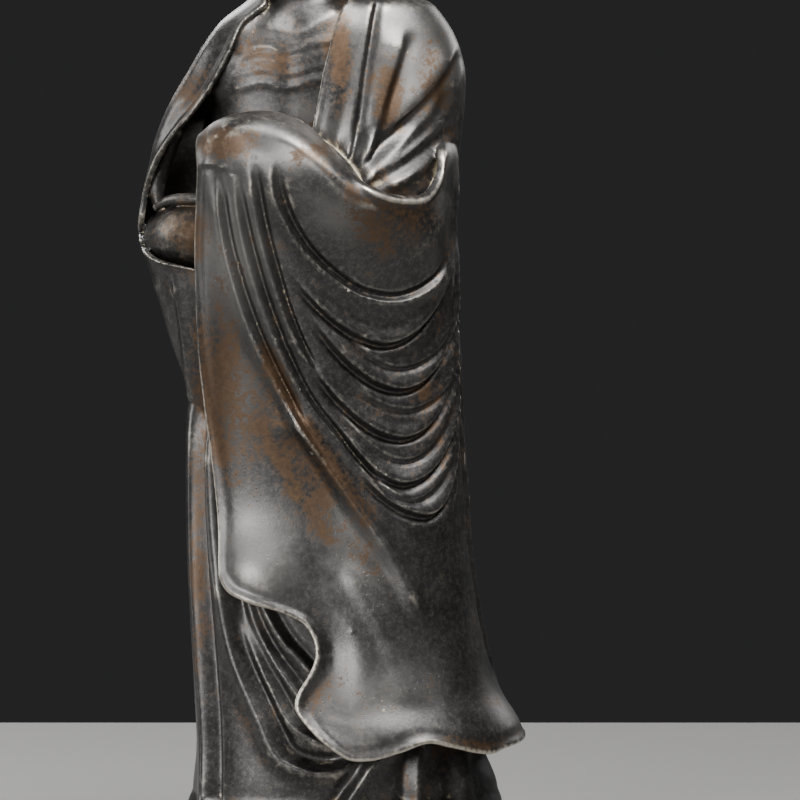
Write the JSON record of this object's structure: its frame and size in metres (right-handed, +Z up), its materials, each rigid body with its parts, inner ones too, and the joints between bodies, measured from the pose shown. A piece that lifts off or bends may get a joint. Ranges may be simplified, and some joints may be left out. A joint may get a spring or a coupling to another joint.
{
  "type": "bodhidharma statue",
  "caption": "Standing robed monk in cast bronze, hands hidden under a draped mantle with a windblown hem, on a low oval plate.",
  "frame": {"origin": "middle of the flat underside of the oval plate", "axes": "+Z up through the standing figure, -Y the way it faces, +X to the right of someone who looks at its front"},
  "size_m": [0.1768, 0.1394, 0.4551],
  "materials": {
    "dark_bronze": "dark brown bronze with a waxed sheen, rubbed brown on the crests of the folds"
  },
  "bodies": {
    "root": {"bodhidharma_figure": "dark_bronze"}
  },
  "joints": []
}
